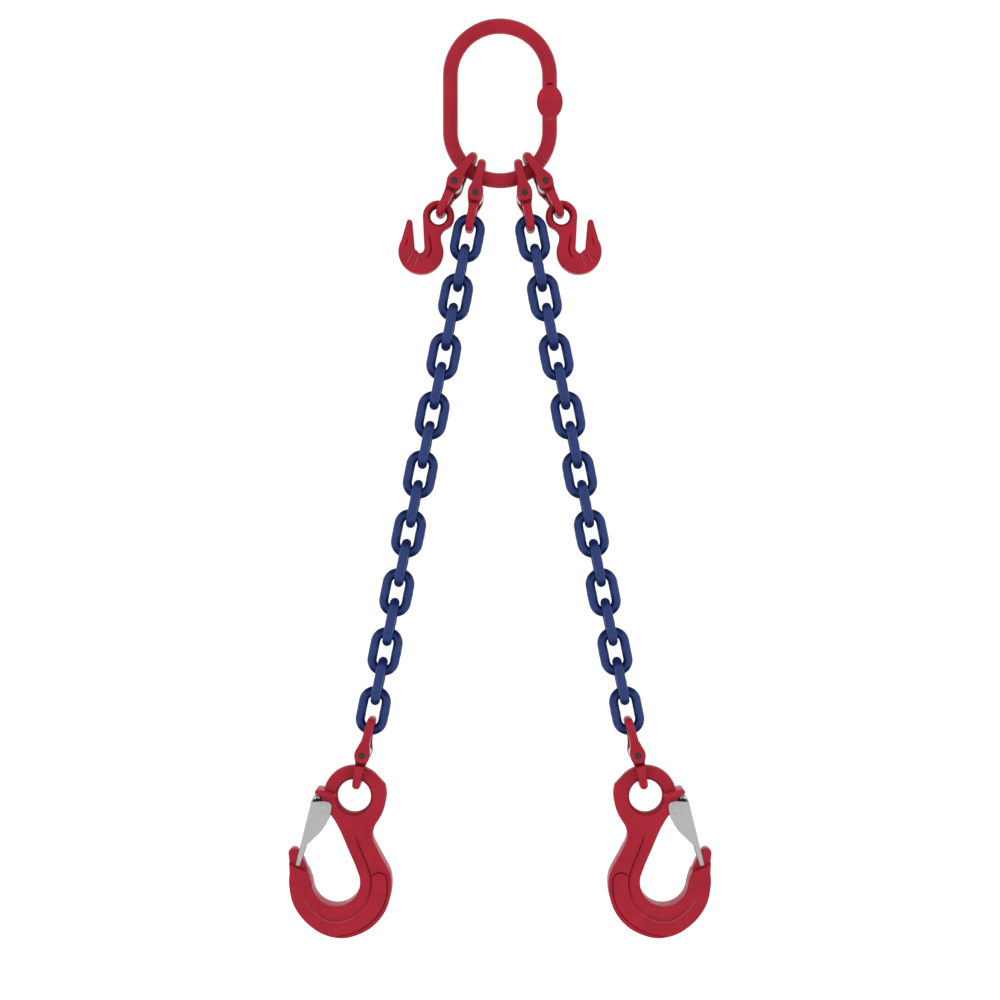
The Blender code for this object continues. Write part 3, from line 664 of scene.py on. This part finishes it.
def latch_mesh():
    """A pressed channel: two cheeks and a web along the outer edge, from the centre of the eye."""
    top, end = np.array((-42.6, -4.9)), np.array((-58.0, -67.7))
    outline = [tuple(top), (-28.2, -4.2)]
    outline += arc((-26.9, -9.6), 4.8, 95, -20, 10)
    outline += rounded([(-22.8, -14.0), (-23.8, -18.6), (-26.7, -25.5), (-31.7, -33.5)], 5)
    outline += [(-46.9, -48.1), (-48.1, -50.1), (-53.9, -68.4), tuple(end)]
    half = LATCH_INNER_HALF_WIDTH + LATCH_SHEET
    block = plate("latch", outline, half)
    body = bmesh.new()
    body.from_mesh(block)
    down = (end - top) / np.linalg.norm(end - top)
    folds = []
    for e in body.edges:
        ends = [np.array((v.co.x, v.co.z)) / MM - top for v in e.verts]
        if all(abs(p[0] * down[1] - p[1] * down[0]) < 0.02 for p in ends) and e.calc_length() > 0.05:
            folds.append(e)
    bmesh.ops.bevel(body, geom=folds, offset=1.9 * MM, segments=5, profile=0.5, affect="EDGES",
                    clamp_overlap=True)
    body.to_mesh(block)
    body.free()
    across = np.array((-down[1], down[0]))
    inner = top + LATCH_SHEET * across
    web_end = inner + 51.1 * down
    pocket = plate("pocket", [
        tuple(inner - 20 * down), (20, inner[1] + 20), (20, -90), (-90, -90), (-90, web_end[1]),
        tuple(web_end),
    ], LATCH_INNER_HALF_WIDTH)
    latch = boolean(block, "DIFFERENCE", pocket)
    hole = turned("hole", [(0.01, -20), (2.66, -20), (2.66, 20), (0.01, 20)])
    hole.transform(Matrix.Translation((RIVET_CENTRE[0] * MM, 0, RIVET_CENTRE[1] * MM)))
    latch = boolean(latch, "DIFFERENCE", hole)
    lip = plate("lip", rounded([(-43.2, -6.0), (-42.2, -3.6), (-39.9, 0.2), (-38.6, 0.7), (-33.6, -0.2)], 4)
                + rounded([(-33.8, -1.3), (-38.2, -0.6), (-39.1, -1.0), (-41.0, -4.2), (-41.7, -6.0)], 4),
                LATCH_LIP_HALF_WIDTH, bevel=0.2, segments=2)
    return boolean(latch, "UNION", lip)


def rivet_mesh():
    """From the centre of the rivet: a shaft between two low domed heads."""
    face = LATCH_INNER_HALF_WIDTH + LATCH_SHEET + 0.02
    head = [(5.2, face), (5.2, face + 0.35), (4.9, face + 0.62), (4.2, face + 0.76), (2.5, face + 0.85),
            (0.01, face + 0.88)]
    profile = [(2.6, 0), (2.6, face), *head]
    return turned("rivet", [(r, -y) for r, y in reversed(profile[1:])] + profile)


def spring_mesh():
    """A torsion spring's coil behind the latch's web, with one leg along it, from the centre of the eye."""
    wire, radius, centre, turns, pitch = 0.6, 2.2, Vector((-36.1, 0, -3.8)), 9, 1.4
    centring = 0.375    # how far the coil's middle is past half its turns
    coil = []
    for a in np.linspace(0.5 * math.pi, (2 * turns + 1.0) * math.pi, 14 * turns):
        y = (a / (2 * math.pi) - turns / 2 - centring) * pitch
        coil.append(centre + Vector((radius * math.cos(a), y, radius * math.sin(a))))
    leg = [coil[-1] + Vector((-0.3, -0.1, -1.0)) * d for d in (3, 8, 14, 20)]
    curve = bpy.data.curves.new("spring", "CURVE")
    curve.dimensions = "3D"
    curve.bevel_depth = wire * MM
    curve.bevel_resolution = 3
    curve.use_fill_caps = True
    spline = curve.splines.new("POLY")
    path = coil + leg
    spline.points.add(len(path) - 1)
    for point, spot in zip(spline.points, path):
        point.co = (*(spot * MM), 1)
    body = bpy.data.objects.new("spring", curve)
    bpy.context.scene.collection.objects.link(body)
    made = applied(body)
    body = bmesh.new()
    body.from_mesh(made)
    bmesh.ops.remove_doubles(body, verts=body.verts, dist=0.005 * MM)
    body.to_mesh(made)
    body.free()
    return shaded(made)


# Materials

def principled(name, roughness, metallic):
    made = bpy.data.materials.new(name)
    made.use_nodes = True
    shader = made.node_tree.nodes["Principled BSDF"]
    shader.inputs["Roughness"].default_value = roughness
    shader.inputs["Metallic"].default_value = metallic
    return made, made.node_tree, shader


def noise(tree, scale, detail, stretch=(1, 1, 1)):
    """A noise texture in the piece's own space."""
    coordinates = tree.nodes.new("ShaderNodeTexCoord")
    mapping = tree.nodes.new("ShaderNodeMapping")
    mapping.inputs["Scale"].default_value = stretch
    texture = tree.nodes.new("ShaderNodeTexNoise")
    texture.inputs["Scale"].default_value = scale
    texture.inputs["Detail"].default_value = detail
    tree.links.new(coordinates.outputs["Object"], mapping.inputs["Vector"])
    tree.links.new(mapping.outputs["Vector"], texture.inputs["Vector"])
    return texture.outputs["Fac"]


def ramp(tree, value, stops):
    """The value turned into a colour, through two (position, colour) stops."""
    node = tree.nodes.new("ShaderNodeValToRGB")
    elements = node.color_ramp.elements
    for element, (position, colour) in zip(elements, stops):
        element.position = position
        element.color = (*colour, 1)
    tree.links.new(value, node.inputs["Fac"])
    return node.outputs["Color"]


def spread(tree, value, low, high):
    """The value's middle range mapped to low and high."""
    node = tree.nodes.new("ShaderNodeMapRange")
    for name, number in (("From Min", 0.3), ("From Max", 0.7), ("To Min", low), ("To Max", high)):
        node.inputs[name].default_value = number
    tree.links.new(value, node.inputs["Value"])
    return node.outputs["Result"]


def calculated(tree, operation, *values):
    node = tree.nodes.new("ShaderNodeMath")
    node.operation = operation
    for socket, value in zip(node.inputs, values):
        if isinstance(value, float):
            socket.default_value = value
        else:
            tree.links.new(value, socket)
    return node.outputs["Value"]


def mixed(tree, share, first, second):
    node = tree.nodes.new("ShaderNodeMix")
    node.data_type = "RGBA"
    tree.links.new(share, node.inputs["Factor"])
    tree.links.new(first, node.inputs["A"])
    tree.links.new(second, node.inputs["B"])
    return node.outputs["Result"]


def bump(tree, shader, height, distance, strength):
    node = tree.nodes.new("ShaderNodeBump")
    node.inputs["Distance"].default_value = distance
    node.inputs["Strength"].default_value = strength
    tree.links.new(height, node.inputs["Height"])
    tree.links.new(node.outputs["Normal"], shader.inputs["Normal"])


def paint(name, colour, crease, roughness, specular):
    """Powder coat: faint mottling, paler on convex edges as partly edge wear and partly a painted
    highlight, painted shade in creases, painted highlights on marked edges, with orange peel.
    """
    made, tree, shader = principled(name, roughness, 0.0)
    shader.inputs["Specular IOR Level"].default_value = specular
    deep = tuple(0.90 * c for c in colour)
    light = tuple(1.06 * c for c in colour)
    wear_and_highlight = tuple(0.80 * c + 0.035 for c in colour)
    highlight_colour = tuple(0.80 * c + 0.110 for c in colour)
    body = ramp(tree, noise(tree, 55, 4), [(0.35, deep), (0.65, light)])
    # Paler on convex edges: partly edge wear, partly a painted highlight
    edge_colour = ramp(tree, noise(tree, 900, 2), [(0.4, light), (0.7, wear_and_highlight)])
    geometry = tree.nodes.new("ShaderNodeNewGeometry")
    edge = tree.nodes.new("ShaderNodeMapRange")
    for key, number in (("From Min", 0.53), ("From Max", 0.66), ("To Min", 0.0), ("To Max", 0.5)):
        edge.inputs[key].default_value = number
    tree.links.new(geometry.outputs["Pointiness"], edge.inputs["Value"])
    # The mesh's attribute holds painted shade above zero and a painted highlight below zero
    painted_shading = tree.nodes.new("ShaderNodeAttribute")
    painted_shading.attribute_name = "painted_shading"
    painted_highlight = calculated(tree, "MULTIPLY", painted_shading.outputs["Fac"], -1.0)
    creased = tree.nodes.new("ShaderNodeRGB")
    creased.outputs["Color"].default_value = (*crease, 1)
    coat = mixed(tree, edge.outputs["Result"], body, edge_colour)
    coat = mixed(tree, painted_highlight, coat, ramp(tree, noise(tree, 300, 2), [(0.3, wear_and_highlight), (0.7, highlight_colour)]))
    tree.links.new(mixed(tree, painted_shading.outputs["Fac"], coat, creased.outputs["Color"]),
                   shader.inputs["Base Color"])
    sheen = spread(tree, noise(tree, 120, 3), roughness - 0.06, roughness + 0.08)
    matt = calculated(tree, "MULTIPLY_ADD", painted_shading.outputs["Fac"], 0.5, sheen)
    tree.links.new(calculated(tree, "MAXIMUM", sheen, matt), shader.inputs["Roughness"])
    bump(tree, shader, noise(tree, 650, 2), 0.02 * MM, 0.5)
    return made


def metal(name, colour, roughness, metallic, grain, stretch):
    """Bare or plated steel with a fine grain and faint stains."""
    made, tree, shader = principled(name, roughness, metallic)
    deep = tuple(0.94 * c for c in colour)
    light = tuple(1.04 * c for c in colour)
    body = ramp(tree, noise(tree, 90, 5), [(0.35, deep), (0.65, light)])
    fine = ramp(tree, noise(tree, grain, 3, stretch), [(0.3, deep), (0.7, light)])
    tree.links.new(mixed(tree, noise(tree, 40, 2), body, fine), shader.inputs["Base Color"])
    tree.links.new(spread(tree, noise(tree, grain, 3, stretch), roughness - 0.08, roughness + 0.10),
                   shader.inputs["Roughness"])
    bump(tree, shader, noise(tree, grain, 3, stretch), 0.01 * MM, 0.4)
    return made


# Each coat's third colour is painted shade for creases and hollows
RED = paint("red_coat", (0.345, 0.0095, 0.025), (0.15, 0.0, 0.004), 0.34, 0.15)
BLUE = paint("blue_coat", (0.0195, 0.039, 0.155), (0.0004, 0.011, 0.080), 0.36, 0.15)
PIN_STEEL = metal("pin_steel", (0.019, 0.019, 0.019), 0.60, 0.2, 700, (1, 1, 1))
ZINC = metal("zinc_plate", (0.405, 0.405, 0.405), 0.50, 0.20, 500, (1, 1, 1))
SLEEVE_STEEL = metal("sleeve_steel", (0.55, 0.57, 0.57), 0.35, 0.8, 600, (1, 0.1, 1))
SPRING_STEEL = metal("spring_steel", (0.05, 0.05, 0.055), 0.40, 0.7, 900, (1, 1, 1))


# Placing

def place(name, mesh, body, matrix, finish, replaced=None):
    """A piece of the object: in place, riding on its body, standing for its CAD node."""
    piece = bpy.data.objects.new(name, mesh)
    bpy.context.scene.collection.objects.link(piece)
    if not mesh.materials:
        mesh.materials.append(finish)
    piece.matrix_world = matrix
    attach(piece, body)
    if replaced:
        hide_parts(replaced)
    return piece


def local_frame(origin, down, side):
    """A matrix at the origin whose Z points up against the way down, and whose Y is the side's."""
    up = -Vector(down).normalized()
    depth = Vector((0, SIDES[side], 0))
    across = depth.cross(up)
    return Matrix((
        (across.x, depth.x, up.x, origin.x), (across.y, depth.y, up.y, origin.y),
        (across.z, depth.z, up.z, origin.z), (0, 0, 0, 1),
    ))


PIVOT = {j["child"]: Vector(j["pos_m"]) for j in frame["joints"]}
HALF_TURN = Matrix.Rotation(math.pi, 4, "Z")
QUARTER_TURN = Matrix.Rotation(math.pi / 2, 4, "Z")
OVER = Matrix.Rotation(math.pi, 4, "Y")


def coupling(side, where, hung, shapes):
    """The two halves, pin and sleeve of one coupling link, the lower half turned towards the body that
    hangs from it.
    """
    upper, lower = f"{side}_{where}_upper", f"{side}_{where}_lower"
    pin = PIVOT[lower]
    above = local_frame(pin, pin - PIVOT[upper], side)
    below = local_frame(pin, PIVOT[hung] - pin, side)
    front_turn = {"left": Matrix.Identity(4), "right": HALF_TURN}[side]
    place(f"{upper}_forging", shapes["half"], upper, above @ OVER @ HALF_TURN @ front_turn, RED,
          f"{upper}_half")
    place(f"{lower}_forging", shapes["half"], lower, below @ front_turn, RED,
          f"{lower}_half")
    place(f"{side}_{where}_pin", shapes["pin"], upper, above, PIN_STEEL,
          f"{side}_{where}_load_pin")
    place(f"{side}_{where}_sleeve", shapes["sleeve"], upper, above, SLEEVE_STEEL)


def leg(side, shapes):
    links = sorted(b for b in PIVOT if b.startswith(f"{side}_link_"))
    coupling(side, "top", links[0], shapes)
    coupling(side, "bottom", f"{side}_sling_hook", shapes)
    coupling(side, "shortener", f"{side}_grab_hook", shapes)
    for number, (link, following) in enumerate(zip(links, [*links[1:], f"{side}_bottom_upper"])):
        matrix = local_frame(PIVOT[link], PIVOT[following] - PIVOT[link], side)
        if number % 2:
            matrix = matrix @ QUARTER_TURN
        place(f"{link}_wire", shapes["link"], link, matrix, BLUE, link)

    hook, grab, latch = f"{side}_sling_hook", f"{side}_grab_hook", f"{side}_latch"
    hang = PIVOT[hook] - PIVOT[f"{side}_bottom_lower"]
    eye = PIVOT[hook] + HOOK_EYE_DROP * MM * hang.normalized()
    upright = local_frame(eye, (0, 0, -1), side)
    place(f"{hook}_forging", shapes["hook"], hook, upright, RED, hook)
    place(f"{latch}_sheet", shapes["latch"], latch, upright, ZINC, latch)
    place(f"{latch}_spring", shapes["spring"], latch, upright, SPRING_STEEL)
    rivet = local_frame(PIVOT[latch], (0, 0, -1), side)
    place(f"{latch}_rivet", shapes["rivet"], latch, rivet, ZINC)

    hang = PIVOT[grab] - PIVOT[f"{side}_shortener_lower"]
    eye = PIVOT[grab] + GRAB_EYE_DROP * MM * hang.normalized()
    place(f"{grab}_forging", shapes["grab"], grab, local_frame(eye, (0, 0, -1), side), RED,
          grab)


def build():
    shapes = {
        "half": half_mesh(), "pin": pin_mesh(), "sleeve": sleeve_mesh(), "link": link_mesh(),
        "hook": sling_hook_mesh(), "latch": latch_mesh(), "rivet": rivet_mesh(),
        "spring": spring_mesh(), "grab": grab_hook_mesh(),
    }
    place("master_link_ring", master_link_mesh(), "root", Matrix.Identity(4), RED,
          "master_link")
    for side in SIDES:
        leg(side, shapes)


# Stage

def backdrop():
    """A pale floor that curves up into a wall behind the object."""
    floor, wall, bend, half_width, front = -1.25, 4.2, 1.5, 7.0, -6.0
    profile = [(front, floor)]
    profile += [(wall - bend + bend * math.sin(a), floor + bend * (1 - math.cos(a)))
                for a in np.radians(np.linspace(0, 90, 24))]
    profile += [(wall, 5.0)]
    vertices = [(x, y, z) for y, z in profile for x in (-half_width, half_width)]
    faces = [(2 * i, 2 * i + 1, 2 * i + 3, 2 * i + 2) for i in range(len(profile) - 1)]
    mesh = bpy.data.meshes.new("floor")
    mesh.from_pydata(vertices, [], faces)
    mesh.shade_smooth()
    made, tree, shader = principled("floor_paper", 0.9, 0.0)
    tree.links.new(ramp(tree, noise(tree, 6, 2), [(0.3, (0.90, 0.90, 0.90)), (0.7, (0.92, 0.92, 0.92))]),
                   shader.inputs["Base Color"])
    shader.inputs["Emission Color"].default_value = (1, 1, 1, 1)
    shader.inputs["Emission Strength"].default_value = 0.12
    mesh.materials.append(made)
    floor_object = bpy.data.objects.new("floor", mesh)
    bpy.context.scene.collection.objects.link(floor_object)


def soft_light(name, location, aim, size, power):
    data = bpy.data.lights.new(name, "AREA")
    data.shape = "RECTANGLE"
    data.size, data.size_y = size
    data.energy = power
    lamp = bpy.data.objects.new(name, data)
    lamp.location = location
    lamp.rotation_euler = (Vector(aim) - Vector(location)).to_track_quat("-Z", "Y").to_euler()
    bpy.context.scene.collection.objects.link(lamp)


def studio():
    world = bpy.data.worlds.new("studio")
    world.use_nodes = True
    world.node_tree.nodes["Background"].inputs["Color"].default_value = (1, 1, 1, 1)
    world.node_tree.nodes["Background"].inputs["Strength"].default_value = 1.0
    bpy.context.scene.world = world
    bpy.context.scene.view_settings.view_transform = "Standard"
    middle = (0, 0, -0.45)
    soft_light("key", (-1.6, -2.6, 1.2), middle, (2.4, 2.4), 8)
    soft_light("fill", (1.8, -2.4, 0.2), middle, (2.4, 2.4), 6)
    soft_light("rim", (0.2, 2.2, 1.4), middle, (2.4, 1.6), 8)

    camera = bpy.data.cameras.new("camera")
    camera.lens, camera.sensor_width = 54, 36
    viewer = bpy.data.objects.new("camera", camera)
    viewer.location = (0, -1.5, -0.4667)
    viewer.rotation_euler = (math.pi / 2, 0, 0)
    bpy.context.scene.collection.objects.link(viewer)
    bpy.context.scene.camera = viewer


build()
backdrop()
studio()
